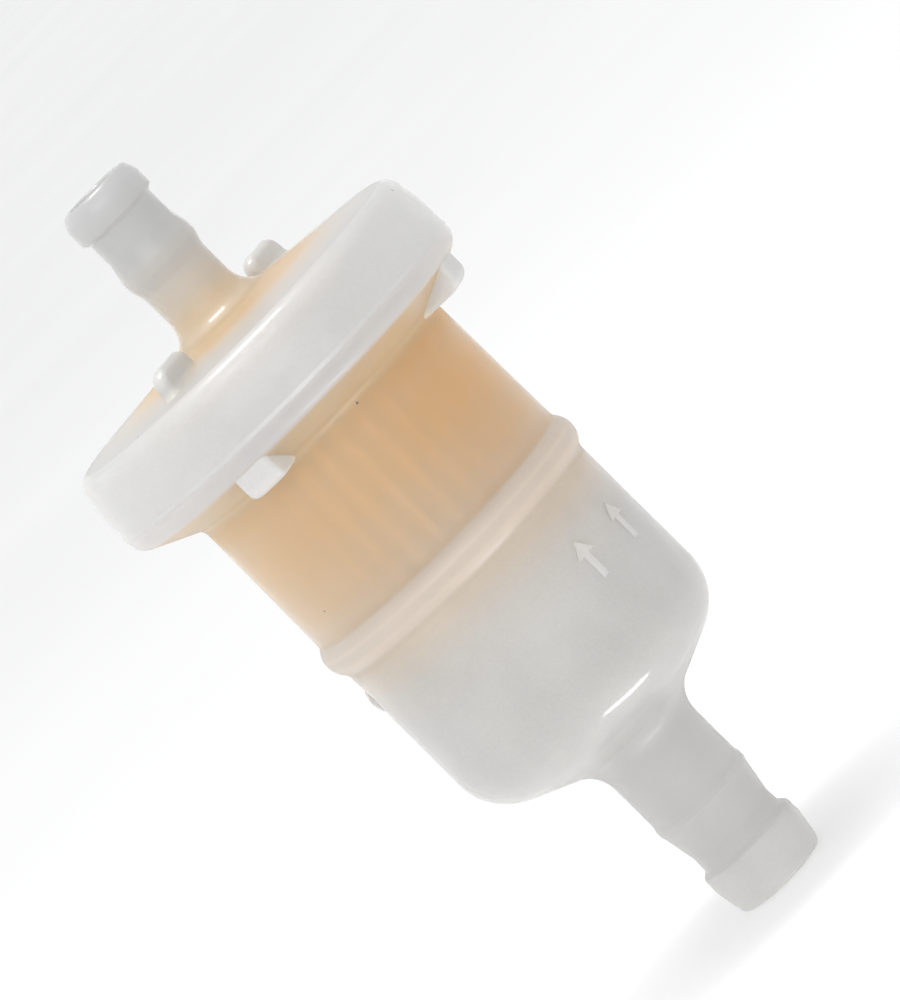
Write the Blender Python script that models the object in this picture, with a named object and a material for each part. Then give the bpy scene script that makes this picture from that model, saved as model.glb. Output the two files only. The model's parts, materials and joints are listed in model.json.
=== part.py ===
"""An inline fuel filter in moulded nylon: a bowl with the inlet nozzle, a welded cap with the outlet
nozzle, and a pleated paper cartridge sealed to the cap inside.

Every length below is in millimetres. The shared axis of all pieces is Z, the outlet points up, and the
origin is the middle of the overall length.
"""

import math

import bmesh
import bpy
from mathutils import Matrix, Vector

MM = 0.001
CLEARANCE = 0.3

# Facets round the axis
SHELL_SEGMENTS = 48
INNER_SEGMENTS = 40
RING_SEGMENTS = 36
RING_SECTION_SEGMENTS = 10

# Overall
HALF_LENGTH = 46.7
SHARP_EDGE_ANGLE = 35.0

# Outlet nozzle, on the cap
OUTLET_BORE_RADIUS = 3.0
OUTLET_FACE_RADIUS = 3.5
OUTLET_HEAD_RADIUS = 4.5
OUTLET_HEAD_Z = 44.4
OUTLET_HEAD_BACK_Z = 43.4
OUTLET_NECK_RADIUS = 3.87
OUTLET_NECK_Z = 42.9
OUTLET_BARB_RADIUS = 4.3
OUTLET_BARB_Z = 37.8
OUTLET_STEM_RADIUS = 3.85
OUTLET_FLARE_RADIUS = 2.9
OUTLET_FLARE_Z = 32.35

# Cap disc and rim
CAP_TOP_SLOPE = 6.5
CAP_TOP_WALL = 1.7
RIM_RADIUS = 21.45
RIM_TOP_RADIUS = 21.06
RIM_TOP_ROUND = 1.85
RIM_DRAFT_Z = 23.2
RIM_TOP_ROUND_Z = 26.18
SKIRT_INNER_RADIUS = 17.9

# Weld joint between cap and bowl
JOINT_Z = 20.75
TONGUE_INNER_RADIUS = 18.6
TONGUE_OUTER_RADIUS = 19.8
TONGUE_DEPTH = 1.25

# Spigot under the cap that carries the seal ring
SPIGOT_RADIUS = 3.75
SPIGOT_END_Z = 21.8

# Two ears on the cap
EAR_ANGLE = -31.0
EAR_INNER_RADIUS = 9.9
EAR_OUTER_RADIUS = 16.6
EAR_TOP_Z = 31.1
EAR_BASE_Z = 27.6
EAR_THICKNESS = 1.8
EAR_OUTER_ROUND = 1.85
EAR_INNER_ROUND = 0.9
EAR_FOOT = 0.9
EAR_EDGE_ROUND = 0.25

# Three lugs under the flange
LUG_ANGLES = (-23.0, 67.0, 157.0)
LUG_WIDTH = 4.2
LUG_OUTER_RADIUS = 20.7
LUG_BOTTOM_Z = 16.1
LUG_ROUND = 1.4
LUG_EDGE_ROUND = 0.3

# Bowl
BOWL_INNER_RADIUS = 14.5
COLLAR_RADIUS = 15.6
COLLAR_TOP_Z = 24.0
FLANGE_ROUND = 1.7
FLANGE_ROUND_Z = 20.35
FLANGE_SLOPE = 26.0
WALL_TOP_RADIUS = 15.52
WALL_MIDDLE_RADIUS = 15.74
BEAD_RADIUS = 16.5
BEAD_Z = -1.37
BEAD_HALF_WIDTH = 1.75
WALL_LOWER_RADIUS = 15.6
WALL_END_RADIUS = 15.66
SHOULDER_RADIUS = 6.0
SHOULDER_Z = -18.4
SHOULDER_SLOPE = 25.0
SHOULDER_WALL = 1.16

# Inlet nozzle, on the bowl
INLET_BORE_RADIUS = 3.6
INLET_STEM_RADIUS = 5.45
INLET_FILLET_RADIUS = 2.2
INLET_BARB_RADIUS = 5.62
INLET_BARB_Z = -35.3
INLET_NECK_RADIUS = 4.83
INLET_NECK_Z = -39.7
INLET_HEAD_RADIUS = 5.62
INLET_HEAD_BACK_Z = -41.6
INLET_HEAD_Z = -43.3
INLET_TIP_RADIUS = 5.2
INLET_FACE_RADIUS = 4.5

# Paper cartridge
PLEAT_COUNT = 32
PLEAT_OUTER_RADIUS = 13.6
PLEAT_INNER_RADIUS = 7.2
PAPER_THICKNESS = 0.4
FOLD_HALF_WIDTH = 0.45
FOLD_INNER_HALF_WIDTH = 0.1
CARTRIDGE_TOP_Z = 23.9
CARTRIDGE_BOTTOM_Z = 0.55
DISC_RADIUS = 14.1
DISC_THICKNESS = 0.8
BOSS_RADIUS = 6.0
BOSS_HEIGHT = 1.3
NECK_OUTER_RADIUS = 6.0
NECK_INNER_RADIUS = 5.4
NECK_LIP_RADIUS = 4.07
NECK_END_Z = 22.0
NECK_LIP_THICKNESS = 0.6

# Centre tube
TUBE_INNER_RADIUS = 6.3
TUBE_OUTER_RADIUS = 6.9
TUBE_HOLE_ROWS = 5
TUBE_HOLE_COLUMNS = 8
TUBE_HOLE_WIDTH = 2.4
TUBE_HOLE_HEIGHT = 3.0

# Seam clip over one outer fold
CLIP_FOLD = 13
CLIP_WEB_THICKNESS = 0.25
CLIP_GAP = 0.28
CLIP_LEG_END_RADIUS = 12.2
CLIP_INNER_HALF_WIDTH = 0.85

# Seal ring
SEAL_RADIUS = 4.6
SEAL_SECTION_RADIUS = 0.53
SEAL_Z = 23.4


def clear_scene():
    for obj in list(bpy.data.objects):
        bpy.data.objects.remove(obj, do_unlink=True)


def arc(centre_r, centre_z, radius, start, end, steps):
    """Points of an arc in the (r, z) half plane, angles in degrees from +r towards +z."""
    points = []
    for step in range(steps + 1):
        angle = math.radians(start + (end - start) * step / steps)
        points.append((centre_r + radius * math.cos(angle), centre_z + radius * math.sin(angle)))
    return points


def material(name, colour, roughness, metallic=0.0, alpha=1.0):
    made = bpy.data.materials.new(name)
    made.use_nodes = True
    shader = made.node_tree.nodes["Principled BSDF"]
    shader.inputs["Base Color"].default_value = (*colour, 1.0)
    shader.inputs["Roughness"].default_value = roughness
    shader.inputs["Metallic"].default_value = metallic
    shader.inputs["Alpha"].default_value = alpha
    return made


def object_from(name, bm, surface=None):
    bmesh.ops.recalc_face_normals(bm, faces=bm.faces)
    mesh = bpy.data.meshes.new(name)
    bm.to_mesh(mesh)
    bm.free()
    obj = bpy.data.objects.new(name, mesh)
    bpy.context.scene.collection.objects.link(obj)
    if surface:
        mesh.materials.append(surface)
    return obj


def smooth(obj):
    """Shades the round stretches smooth and keeps the real edges sharp."""
    for polygon in obj.data.polygons:
        polygon.use_smooth = True
    obj.data.set_sharp_from_angle(angle=math.radians(SHARP_EDGE_ANGLE))


def revolved(name, outline, segments, surface=None):
    """A body of revolution about Z from a closed outline of (r, z) points in millimetres."""
    bm = bmesh.new()
    ring = [bm.verts.new((r * MM, 0.0, z * MM)) for r, z in outline]
    edges = [bm.edges.new((ring[i - 1], ring[i])) for i in range(len(ring))]
    bmesh.ops.spin(
        bm,
        geom=ring + edges,
        axis=(0.0, 0.0, 1.0),
        cent=(0.0, 0.0, 0.0),
        angle=2.0 * math.pi,
        steps=segments,
        use_merge=True,
    )
    bmesh.ops.remove_doubles(bm, verts=bm.verts, dist=0.001 * MM)
    loose = [edge for edge in bm.edges if not edge.link_faces]
    bmesh.ops.delete(bm, geom=loose, context="EDGES")
    return object_from(name, bm, surface)


def prism(name, outline, depth, surface=None):
    """A closed outline of (x, z) points in millimetres, given a thickness along Y about the middle."""
    bm = bmesh.new()
    face = bm.faces.new([bm.verts.new((x * MM, -depth / 2.0 * MM, z * MM)) for x, z in outline])
    swept = bmesh.ops.extrude_face_region(bm, geom=[face])
    moved = [item for item in swept["geom"] if isinstance(item, bmesh.types.BMVert)]
    bmesh.ops.translate(bm, verts=moved, vec=(0.0, depth * MM, 0.0))
    return object_from(name, bm, surface)


def turned(obj, azimuth):
    """Turns the mesh about Z so that its +X side faces the azimuth, which is measured from -Y towards +X."""
    obj.data.transform(Matrix.Rotation(math.radians(azimuth - 90.0), 4, "Z"))
    return obj


def bevelled(obj, width, segments=2):
    """Rounds the edges of a small solid, as mesh data so that a later union sees it."""
    bm = bmesh.new()
    bm.from_mesh(obj.data)
    bmesh.ops.dissolve_limit(bm, angle_limit=0.01, verts=bm.verts, edges=bm.edges)
    bends = [edge for edge in bm.edges if edge.calc_face_angle(0.0) > math.radians(SHARP_EDGE_ANGLE)]
    bmesh.ops.bevel(
        bm, geom=bends, offset=width * MM, segments=segments, profile=0.5, affect="EDGES", clamp_overlap=True
    )
    bm.to_mesh(obj.data)
    bm.free()
    return obj


def helper(obj):
    obj.hide_render = True
    obj.display_type = "WIRE"
    return obj


def combine(target, other, operation):
    """Adds an exact Boolean of the helper object to the target."""
    modifier = target.modifiers.new(f"{operation.lower()}_{other.name}", "BOOLEAN")
    modifier.operation = operation
    modifier.solver = "EXACT"
    modifier.object = helper(other)


def outlet_outline():
    """Outer side of the outlet nozzle, from the tip face down to the cap's sloping top."""
    tip_round = HALF_LENGTH - OUTLET_HEAD_Z
    return [
        (OUTLET_FACE_RADIUS, HALF_LENGTH),
        (OUTLET_HEAD_RADIUS - 0.5, HALF_LENGTH - 0.25 * tip_round),
        (OUTLET_HEAD_RADIUS - 0.1, HALF_LENGTH - 0.65 * tip_round),
        (OUTLET_HEAD_RADIUS, OUTLET_HEAD_Z),
        (OUTLET_HEAD_RADIUS - 0.08, OUTLET_HEAD_BACK_Z + 0.3),
        (OUTLET_HEAD_RADIUS - 0.3, OUTLET_HEAD_BACK_Z),
        (OUTLET_NECK_RADIUS, OUTLET_NECK_Z),
        (OUTLET_NECK_RADIUS + 0.05, OUTLET_NECK_Z - 2.8),
        (OUTLET_BARB_RADIUS - 0.05, OUTLET_BARB_Z + 0.5),
        (OUTLET_BARB_RADIUS, OUTLET_BARB_Z),
        (OUTLET_BARB_RADIUS - 0.08, OUTLET_BARB_Z - 0.6),
        (OUTLET_STEM_RADIUS + 0.05, OUTLET_BARB_Z - 2.6),
        (OUTLET_STEM_RADIUS, OUTLET_BARB_Z - 4.0),
    ] + arc(
        OUTLET_STEM_RADIUS + OUTLET_FLARE_RADIUS,
        OUTLET_FLARE_Z,
        OUTLET_FLARE_RADIUS,
        180.0,
        270.0 - CAP_TOP_SLOPE,
        6,
    )


def make_cap(surface):
    flare_end_r, flare_end_z = outlet_outline()[-1]
    slope = math.tan(math.radians(CAP_TOP_SLOPE))
    top_at_skirt = flare_end_z - (SKIRT_INNER_RADIUS - flare_end_r) * slope
    top_at_spigot = flare_end_z + (flare_end_r - SPIGOT_RADIUS) * slope
    bottom = JOINT_Z + CLEARANCE
    outline = outlet_outline()
    outline += arc(RIM_TOP_RADIUS - RIM_TOP_ROUND, RIM_TOP_ROUND_Z, RIM_TOP_ROUND, 90.0 - CAP_TOP_SLOPE, 0.0, 4)
    outline += [
        (0.4 * RIM_TOP_RADIUS + 0.6 * RIM_RADIUS, 0.5 * (RIM_TOP_ROUND_Z + RIM_DRAFT_Z)),
        (RIM_RADIUS, RIM_DRAFT_Z),
        (RIM_RADIUS, bottom),
        (TONGUE_OUTER_RADIUS, bottom),
        (TONGUE_OUTER_RADIUS, JOINT_Z - TONGUE_DEPTH),
        (TONGUE_INNER_RADIUS, JOINT_Z - TONGUE_DEPTH),
        (TONGUE_INNER_RADIUS, bottom),
        (SKIRT_INNER_RADIUS, bottom),
        (SKIRT_INNER_RADIUS, top_at_skirt - CAP_TOP_WALL),
        (SPIGOT_RADIUS, top_at_spigot - CAP_TOP_WALL),
        (SPIGOT_RADIUS, SPIGOT_END_Z),
        (OUTLET_BORE_RADIUS, SPIGOT_END_Z),
        (OUTLET_BORE_RADIUS, HALF_LENGTH - 0.15),
        (OUTLET_BORE_RADIUS + 0.1, HALF_LENGTH),
    ]
    cap = revolved("cap", outline, SHELL_SEGMENTS, surface)
    for number, azimuth in enumerate((EAR_ANGLE, EAR_ANGLE + 180.0)):
        combine(cap, turned(make_ear(f"ear_{number}"), azimuth), "UNION")
    smooth(cap)
    return cap


def make_ear(name):
    """One upright ear in the XZ plane, with a rounded outer shoulder and a flared outer foot."""
    outer_top = EAR_TOP_Z - EAR_OUTER_ROUND
    inner_top = EAR_TOP_Z - EAR_INNER_ROUND
    outline = [
        (EAR_INNER_RADIUS, EAR_BASE_Z),
        (EAR_OUTER_RADIUS + EAR_FOOT, EAR_BASE_Z),
        (EAR_OUTER_RADIUS + EAR_FOOT, EAR_BASE_Z + 0.7),
    ]
    outline += arc(EAR_OUTER_RADIUS + EAR_FOOT, EAR_BASE_Z + 0.7 + EAR_FOOT, EAR_FOOT, 270.0, 180.0, 3)[1:]
    outline += arc(EAR_OUTER_RADIUS - EAR_OUTER_ROUND, outer_top, EAR_OUTER_ROUND, 0.0, 90.0, 5)
    outline += arc(EAR_INNER_RADIUS + EAR_INNER_ROUND, inner_top, EAR_INNER_ROUND, 90.0, 180.0, 3)
    return bevelled(prism(name, outline, EAR_THICKNESS), EAR_EDGE_ROUND)


def inlet_outline(cone_r, cone_z):
    """Outer side of the inlet nozzle, from the bowl's cone at (cone_r, cone_z) down to the tip face."""
    turn = 90.0 - SHOULDER_SLOPE
    cone_at_stem = cone_z - (cone_r - INLET_STEM_RADIUS) * math.tan(math.radians(SHOULDER_SLOPE))
    fillet_z = cone_at_stem - INLET_FILLET_RADIUS * math.tan(math.radians(turn / 2.0))
    return arc(
        INLET_STEM_RADIUS + INLET_FILLET_RADIUS, fillet_z, INLET_FILLET_RADIUS, 90.0 + SHOULDER_SLOPE, 180.0, 4
    ) + [
        (INLET_STEM_RADIUS, INLET_BARB_Z + 0.6),
        (INLET_BARB_RADIUS, INLET_BARB_Z),
        (INLET_BARB_RADIUS, INLET_BARB_Z - 0.45),
        (INLET_BARB_RADIUS - 0.14, INLET_BARB_Z - 0.8),
        (INLET_NECK_RADIUS, INLET_NECK_Z),
        (INLET_NECK_RADIUS + 0.2, INLET_HEAD_BACK_Z + 0.3),
        (INLET_HEAD_RADIUS - 0.12, INLET_HEAD_BACK_Z - 0.2),
        (INLET_HEAD_RADIUS, INLET_HEAD_BACK_Z - 0.5),
        (INLET_HEAD_RADIUS, INLET_HEAD_Z),
        (INLET_TIP_RADIUS, 0.7 - HALF_LENGTH),
        (INLET_TIP_RADIUS - 0.2, 0.2 - HALF_LENGTH),
        (INLET_FACE_RADIUS, -HALF_LENGTH),
    ]


def make_bowl(surface):
    groove_inner = TONGUE_INNER_RADIUS - CLEARANCE
    groove_outer = TONGUE_OUTER_RADIUS + CLEARANCE
    groove_bottom = JOINT_Z - TONGUE_DEPTH - CLEARANCE
    flange_centre = RIM_RADIUS - FLANGE_ROUND
    flange = arc(flange_centre, FLANGE_ROUND_Z, FLANGE_ROUND, 0.0, FLANGE_SLOPE - 90.0, 4)
    slope_r, slope_z = flange[-1]
    slope_end_z = slope_z - (slope_r - WALL_TOP_RADIUS) * math.tan(math.radians(FLANGE_SLOPE))

    bead_height = BEAD_RADIUS - WALL_MIDDLE_RADIUS
    bead_section = (BEAD_HALF_WIDTH**2 + bead_height**2) / (2.0 * bead_height)
    bead_angle = math.degrees(math.asin(BEAD_HALF_WIDTH / bead_section))
    bead = arc(BEAD_RADIUS - bead_section, BEAD_Z, bead_section, bead_angle, -bead_angle, 6)

    shoulder_centre = WALL_END_RADIUS - SHOULDER_RADIUS
    shoulder_end = SHOULDER_SLOPE - 90.0
    shoulder = arc(shoulder_centre, SHOULDER_Z, SHOULDER_RADIUS, 0.0, shoulder_end, 6)
    inner_shoulder = arc(
        shoulder_centre, SHOULDER_Z, BOWL_INNER_RADIUS - shoulder_centre, shoulder_end, 0.0, 5
    )
    inner_cone_r, inner_cone_z = inner_shoulder[0]
    throat_z = inner_cone_z - (inner_cone_r - INLET_BORE_RADIUS) * math.tan(math.radians(SHOULDER_SLOPE))

    outline = [
        (BOWL_INNER_RADIUS, COLLAR_TOP_Z),
        (COLLAR_RADIUS, COLLAR_TOP_Z),
        (COLLAR_RADIUS, JOINT_Z),
        (groove_inner, JOINT_Z),
        (groove_inner, groove_bottom),
        (groove_outer, groove_bottom),
        (groove_outer, JOINT_Z),
        (RIM_RADIUS, JOINT_Z),
    ]
    outline += flange + [(WALL_TOP_RADIUS, slope_end_z)] + bead
    outline += [(WALL_LOWER_RADIUS, BEAD_Z - BEAD_HALF_WIDTH - 0.1)] + shoulder
    outline += inlet_outline(*shoulder[-1])
    outline += [
        (INLET_BORE_RADIUS + 0.4, -HALF_LENGTH),
        (INLET_BORE_RADIUS, 0.5 - HALF_LENGTH),
        (INLET_BORE_RADIUS, throat_z),
    ]
    outline += inner_shoulder
    bowl = revolved("bowl", outline, SHELL_SEGMENTS, surface)
    for number, azimuth in enumerate(LUG_ANGLES):
        combine(bowl, turned(make_lug(f"lug_{number}"), azimuth), "UNION")
    smooth(bowl)
    return bowl


def make_lug(name):
    """One lug in the XZ plane, whose upper half is buried in the flange."""
    buried_r = 0.5 * (BOWL_INNER_RADIUS + WALL_TOP_RADIUS)
    buried_z = 0.5 * (JOINT_Z + LUG_BOTTOM_Z)
    outline = [(buried_r, buried_z), (buried_r, LUG_BOTTOM_Z)]
    outline += arc(LUG_OUTER_RADIUS - LUG_ROUND, LUG_BOTTOM_Z + LUG_ROUND, LUG_ROUND, 270.0, 360.0, 4)
    outline += [(LUG_OUTER_RADIUS, buried_z + 0.9), (buried_r + 2.0, buried_z + 0.9)]
    return bevelled(prism(name, outline, LUG_WIDTH), LUG_EDGE_ROUND)


def pleat_section():
    """The folded sheet seen along Z, as (outer side, inner side) loops of (radius, angle)."""
    outer, inner = [], []
    pitch = 2.0 * math.pi / PLEAT_COUNT
    valley = PLEAT_INNER_RADIUS + PAPER_THICKNESS
    crest = PLEAT_OUTER_RADIUS - PAPER_THICKNESS
    for fold in range(PLEAT_COUNT):
        centre = fold * pitch
        between = centre + pitch / 2.0
        for side in (-1.0, 1.0):
            outer.append((PLEAT_OUTER_RADIUS, centre + side * FOLD_HALF_WIDTH / PLEAT_OUTER_RADIUS))
            inner.append((crest, centre + side * FOLD_INNER_HALF_WIDTH / crest))
        for side in (-1.0, 1.0):
            outer.append((valley, between + side * FOLD_INNER_HALF_WIDTH / valley))
            inner.append((PLEAT_INNER_RADIUS, between + side * FOLD_HALF_WIDTH / PLEAT_INNER_RADIUS))
    return outer, inner


def make_pleats(surface):
    bm = bmesh.new()
    loops = []
    for side in pleat_section():
        loops.append([
            bm.verts.new((r * math.sin(a) * MM, -r * math.cos(a) * MM, CARTRIDGE_BOTTOM_Z * MM)) for r, a in side
        ])
    outer, inner = loops
    sheet = [bm.faces.new((outer[i - 1], outer[i], inner[i], inner[i - 1])) for i in range(len(outer))]
    raised = bmesh.ops.extrude_face_region(bm, geom=sheet)
    moved = [item for item in raised["geom"] if isinstance(item, bmesh.types.BMVert)]
    height = CARTRIDGE_TOP_Z - CARTRIDGE_BOTTOM_Z
    bmesh.ops.translate(bm, verts=moved, vec=(0.0, 0.0, height * MM))
    return object_from("pleated_paper", bm, surface)


def make_upper_disc(surface):
    under = CARTRIDGE_TOP_Z + CLEARANCE
    top = under + DISC_THICKNESS
    outline = [
        (NECK_INNER_RADIUS, top),
        (DISC_RADIUS, top),
        (DISC_RADIUS, under),
        (NECK_OUTER_RADIUS, under),
        (NECK_OUTER_RADIUS, NECK_END_Z),
        (NECK_LIP_RADIUS, NECK_END_Z),
        (NECK_LIP_RADIUS, NECK_END_Z + NECK_LIP_THICKNESS),
        (NECK_INNER_RADIUS, NECK_END_Z + NECK_LIP_THICKNESS),
    ]
    disc = revolved("upper_end_disc", outline, INNER_SEGMENTS, surface)
    smooth(disc)
    return disc


def make_lower_disc(surface):
    top = CARTRIDGE_BOTTOM_Z - CLEARANCE
    bottom = top - DISC_THICKNESS
    bm = bmesh.new()
    stages = ((DISC_RADIUS, bottom), (DISC_RADIUS, top), (BOSS_RADIUS, top), (BOSS_RADIUS, top + BOSS_HEIGHT))
    rings = []
    for radius, height in stages:
        made = bmesh.ops.create_circle(
            bm,
            segments=INNER_SEGMENTS,
            radius=radius * MM,
            matrix=Matrix.Translation(Vector((0.0, 0.0, height * MM))),
        )
        rings.append(made["verts"])
    for lower, upper in zip(rings, rings[1:]):
        for i in range(INNER_SEGMENTS):
            bm.faces.new((lower[i - 1], lower[i], upper[i], upper[i - 1]))
    bm.faces.new(list(reversed(rings[0])))
    bm.faces.new(rings[-1])
    disc = object_from("lower_end_disc", bm, surface)
    smooth(disc)
    return disc


def make_centre_tube(surface):
    outline = [
        (TUBE_INNER_RADIUS, CARTRIDGE_TOP_Z),
        (TUBE_OUTER_RADIUS, CARTRIDGE_TOP_Z),
        (TUBE_OUTER_RADIUS, CARTRIDGE_BOTTOM_Z),
        (TUBE_INNER_RADIUS, CARTRIDGE_BOTTOM_Z),
    ]
    tube = revolved("centre_tube", outline, INNER_SEGMENTS, surface)
    combine(tube, make_hole_cutter(), "DIFFERENCE")
    smooth(tube)
    return tube


def make_hole_cutter():
    """Bars that reach out through the tube wall, one for each of its windows."""
    bm = bmesh.new()
    length = CARTRIDGE_TOP_Z - CARTRIDGE_BOTTOM_Z
    row_pitch = length / (TUBE_HOLE_ROWS + 0.5)
    reach = TUBE_OUTER_RADIUS + 1.0 - 0.5 * TUBE_INNER_RADIUS
    middle = 0.5 * TUBE_INNER_RADIUS + 0.5 * reach
    for row in range(TUBE_HOLE_ROWS):
        height = CARTRIDGE_BOTTOM_Z + row_pitch * (row + 0.65)
        for column in range(TUBE_HOLE_COLUMNS):
            angle = 2.0 * math.pi * (column + 0.5 * (row % 2)) / TUBE_HOLE_COLUMNS
            place = Matrix.Rotation(angle, 4, "Z") @ Matrix.Translation(
                Vector((middle * MM, 0.0, height * MM))
            )
            size = Matrix.Diagonal((reach * MM, TUBE_HOLE_WIDTH * MM, TUBE_HOLE_HEIGHT * MM, 1.0))
            bmesh.ops.create_cube(bm, size=1.0, matrix=place @ size)
    return object_from("tube_windows", bm)


def make_seam_clip(surface):
    """A folded metal strip pressed over the fold where the two ends of the paper meet."""
    inner_r = PLEAT_OUTER_RADIUS + CLIP_GAP
    outer_r = inner_r + CLIP_WEB_THICKNESS
    inner_w = CLIP_INNER_HALF_WIDTH
    outer_w = inner_w + CLIP_WEB_THICKNESS
    section = [
        (CLIP_LEG_END_RADIUS, -outer_w),
        (outer_r, -outer_w),
        (outer_r, outer_w),
        (CLIP_LEG_END_RADIUS, outer_w),
        (CLIP_LEG_END_RADIUS, inner_w),
        (inner_r, inner_w),
        (inner_r, -inner_w),
        (CLIP_LEG_END_RADIUS, -inner_w),
    ]
    bm = bmesh.new()
    face = bm.faces.new([bm.verts.new((r * MM, w * MM, CARTRIDGE_BOTTOM_Z * MM)) for r, w in section])
    raised = bmesh.ops.extrude_face_region(bm, geom=[face])
    moved = [item for item in raised["geom"] if isinstance(item, bmesh.types.BMVert)]
    height = CARTRIDGE_TOP_Z - CARTRIDGE_BOTTOM_Z
    bmesh.ops.translate(bm, verts=moved, vec=(0.0, 0.0, height * MM))
    return turned(object_from("seam_clip", bm, surface), CLIP_FOLD * 360.0 / PLEAT_COUNT)


def make_seal_ring(surface):
    outline = arc(SEAL_RADIUS, SEAL_Z, SEAL_SECTION_RADIUS, 0.0, -360.0, RING_SECTION_SEGMENTS)[:-1]
    ring = revolved("neck_seal_ring", outline, RING_SEGMENTS, surface)
    smooth(ring)
    return ring


def main():
    clear_scene()
    make_cap(material("cap_nylon", (0.80, 0.79, 0.75), 0.38, alpha=0.62))
    make_bowl(material("bowl_nylon", (0.74, 0.73, 0.70), 0.38, alpha=0.55))
    make_pleats(material("filter_paper", (0.70, 0.47, 0.24), 0.90))
    make_upper_disc(material("upper_disc_plastic", (0.66, 0.46, 0.26), 0.60))
    make_lower_disc(material("lower_disc_plastic", (0.66, 0.46, 0.26), 0.60))
    make_centre_tube(material("tube_plastic", (0.72, 0.68, 0.60), 0.50))
    make_seam_clip(material("clip_steel", (0.62, 0.62, 0.62), 0.35, metallic=1.0))
    make_seal_ring(material("seal_rubber", (0.03, 0.03, 0.03), 0.70))


main()
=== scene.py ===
"""Looks for the inline fuel filter: a milky nylon bowl and cap round a tan paper cartridge.

Lengths are in millimetres unless a name says otherwise, and heights along Z and radii are those of
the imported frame, whose axis is Z with the outlet up.
"""

import json
import math

import bmesh
import bpy
from mathutils import Matrix, Vector

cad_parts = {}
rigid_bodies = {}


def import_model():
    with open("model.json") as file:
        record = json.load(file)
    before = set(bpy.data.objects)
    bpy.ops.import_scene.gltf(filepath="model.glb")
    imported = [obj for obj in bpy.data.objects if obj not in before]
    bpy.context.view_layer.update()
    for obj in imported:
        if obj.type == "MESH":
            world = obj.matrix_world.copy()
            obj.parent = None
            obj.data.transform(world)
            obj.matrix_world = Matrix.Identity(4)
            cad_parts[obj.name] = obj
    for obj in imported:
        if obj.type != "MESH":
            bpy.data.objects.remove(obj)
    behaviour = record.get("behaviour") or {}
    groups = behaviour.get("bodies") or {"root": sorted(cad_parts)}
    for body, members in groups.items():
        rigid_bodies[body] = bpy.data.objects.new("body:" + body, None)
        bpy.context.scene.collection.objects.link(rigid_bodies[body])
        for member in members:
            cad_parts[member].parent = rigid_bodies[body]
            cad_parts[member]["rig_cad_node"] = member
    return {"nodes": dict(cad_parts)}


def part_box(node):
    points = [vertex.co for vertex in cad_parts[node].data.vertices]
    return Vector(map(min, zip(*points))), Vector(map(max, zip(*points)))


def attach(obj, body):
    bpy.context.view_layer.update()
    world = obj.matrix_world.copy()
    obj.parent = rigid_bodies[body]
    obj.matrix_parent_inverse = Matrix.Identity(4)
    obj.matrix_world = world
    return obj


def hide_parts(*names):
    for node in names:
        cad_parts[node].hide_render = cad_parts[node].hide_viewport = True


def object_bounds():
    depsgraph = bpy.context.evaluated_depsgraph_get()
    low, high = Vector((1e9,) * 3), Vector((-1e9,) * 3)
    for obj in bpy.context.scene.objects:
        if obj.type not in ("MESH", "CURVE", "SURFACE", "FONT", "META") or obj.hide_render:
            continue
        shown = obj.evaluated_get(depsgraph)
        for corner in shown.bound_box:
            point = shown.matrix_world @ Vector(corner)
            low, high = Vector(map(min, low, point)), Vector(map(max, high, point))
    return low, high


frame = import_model()
cad_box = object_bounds()

MM = 0.001

# The frame's own measures
CAD_LOW, CAD_HIGH = cad_box
HALF_LENGTH = CAD_HIGH.z / MM
RIM_RADIUS = CAD_HIGH.x / MM
PAPER_LOW, PAPER_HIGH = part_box("pleated_paper")

# Facets: FILLET_STEPS are those of a quarter turn, EDGE_STEPS those of an ear's or a lug's rounded end
SHELL_SEGMENTS = 192
FILLET_STEPS = 5
EDGE_STEPS = 16
SHARP_EDGE_ANGLE = 32.0
STRAIGHT_ANGLE = 179.5
EDGE_SHARE = 0.49
WELD = 0.001

# Cap: nozzle, disc and rim
OUTLET_BORE = 3.0
OUTLET_FLARE = 2.9
OUTLET_FLARE_Z = 32.35
OUTLET_STEM = 3.85
OUTLET_BARB = 4.5
OUTLET_RING = 4.3
CAP_SLOPE = 6.5
CAP_WALL = 1.7
RIM_TOP_RADIUS = 21.06
RIM_ROUND = 1.85
RIM_ROUND_Z = 26.18
RIM_DRAFT_Z = 23.2
SKIRT_RADIUS = 17.9
SPIGOT_RADIUS = 3.75
SPIGOT_END_Z = 21.8

# Joint between cap and bowl: a fine ridge stands out on both sides of it, and eases into the rim
JOINT_Z = 20.85
JOINT_GAP = 0.006
JOINT_RIDGE = 0.1
CAP_RIDGE_HEIGHT, CAP_RIDGE_EASE = 0.16, 0.5
BOWL_RIDGE_HEIGHT, BOWL_RIDGE_EASE = 0.1, 0.36

# Bowl
BOWL_BORE = 3.6
BOWL_INNER = 14.5
WALL_CORE = 15.1
COLLAR_RADIUS = 15.6
COLLAR_TOP_Z = 24.0
FLANGE_ROUND = 1.7
FLANGE_ROUND_Z = 20.35
FLANGE_SLOPE = 26.0
FLANGE_FILLET = 1.1
WALL_TOP = 15.52
WALL_MIDDLE = 15.74
BEAD_RADIUS = 16.5
BEAD_Z = -1.37
BEAD_HALF = 1.75
BEAD_SHARE = 0.88
BEAD_FOOT_STEPS = 6
WALL_LOWER = 15.6
WALL_END = 15.66
SHOULDER = 6.0
SHOULDER_Z = -18.4
SHOULDER_SLOPE = 25.0
INLET_STEM = 5.45
INLET_BARB = 5.62
INLET_FILLET = 3.8

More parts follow.
